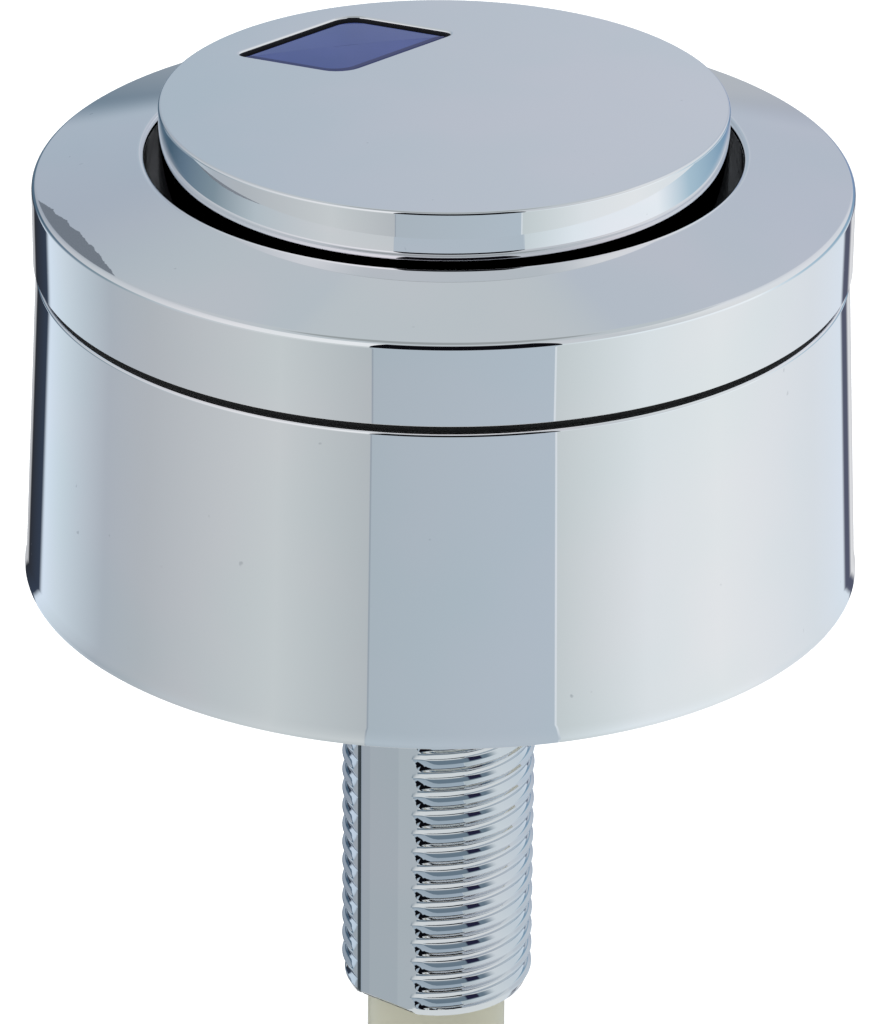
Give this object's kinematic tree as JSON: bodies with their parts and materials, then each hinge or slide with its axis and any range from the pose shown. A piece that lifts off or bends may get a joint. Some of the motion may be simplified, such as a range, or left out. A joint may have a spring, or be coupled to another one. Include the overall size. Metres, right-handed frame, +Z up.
{
  "type": "push button cistern actuator",
  "caption": "Chrome push button actuator for a toilet cistern lid, with a sprung round button, a small blue half-flush key and a hollow threaded stem around the push rods.",
  "frame": {"origin": "centre of the housing's underside, where the stem leaves it", "axes": "+Z up along the stem and the button, out of the cistern; the stem points down along -Z; the picture looks from -Y"},
  "size_m": [0.07, 0.07, 0.1067],
  "materials": {
    "chrome": "bright chrome plate on moulded plastic",
    "blue_plastic": "glossy violet-blue",
    "offwhite_plastic": "smooth off-white",
    "white_plastic": "natural acetal",
    "black_plastic": "moulded black",
    "black_rubber": "matt",
    "spring_steel": "drawn wire",
    "zinc_steel": "zinc plated"
  },
  "bodies": {
    "base": {"housing": "chrome", "base_gasket": "black_rubber", "threaded_stem": "chrome", "guide_bush": "white_plastic", "spring_washer": "zinc_steel", "return_spring": "spring_steel", "guide_barrel": "black_plastic", "barrel_screws": "zinc_steel", "joint_seal": "black_rubber", "bezel_ring": "chrome"},
    "button": {"button_cap": "chrome", "button_carrier": "black_plastic", "cap_screws": "zinc_steel", "push_tube": "offwhite_plastic", "tube_lock_nut": "white_plastic", "key_spring": "spring_steel"},
    "key": {"flush_key": "blue_plastic", "key_slide": "white_plastic", "inner_rod": "offwhite_plastic", "rod_screw": "zinc_steel"}
  },
  "joints": [
    {"name": "button_press", "type": "slide", "parent": "base", "child": "button", "axis": [0, 0, -1], "range_m": [0, 0.007], "stiffness_N_per_m": 700, "springref_m": -0.012, "deforming": ["return_spring"]},
    {"name": "key_press", "type": "slide", "parent": "button", "child": "key", "axis": [0, 0, -1], "range_m": [0, 0.003], "stiffness_N_per_m": 500, "springref_m": -0.006, "deforming": ["key_spring"]}
  ]
}
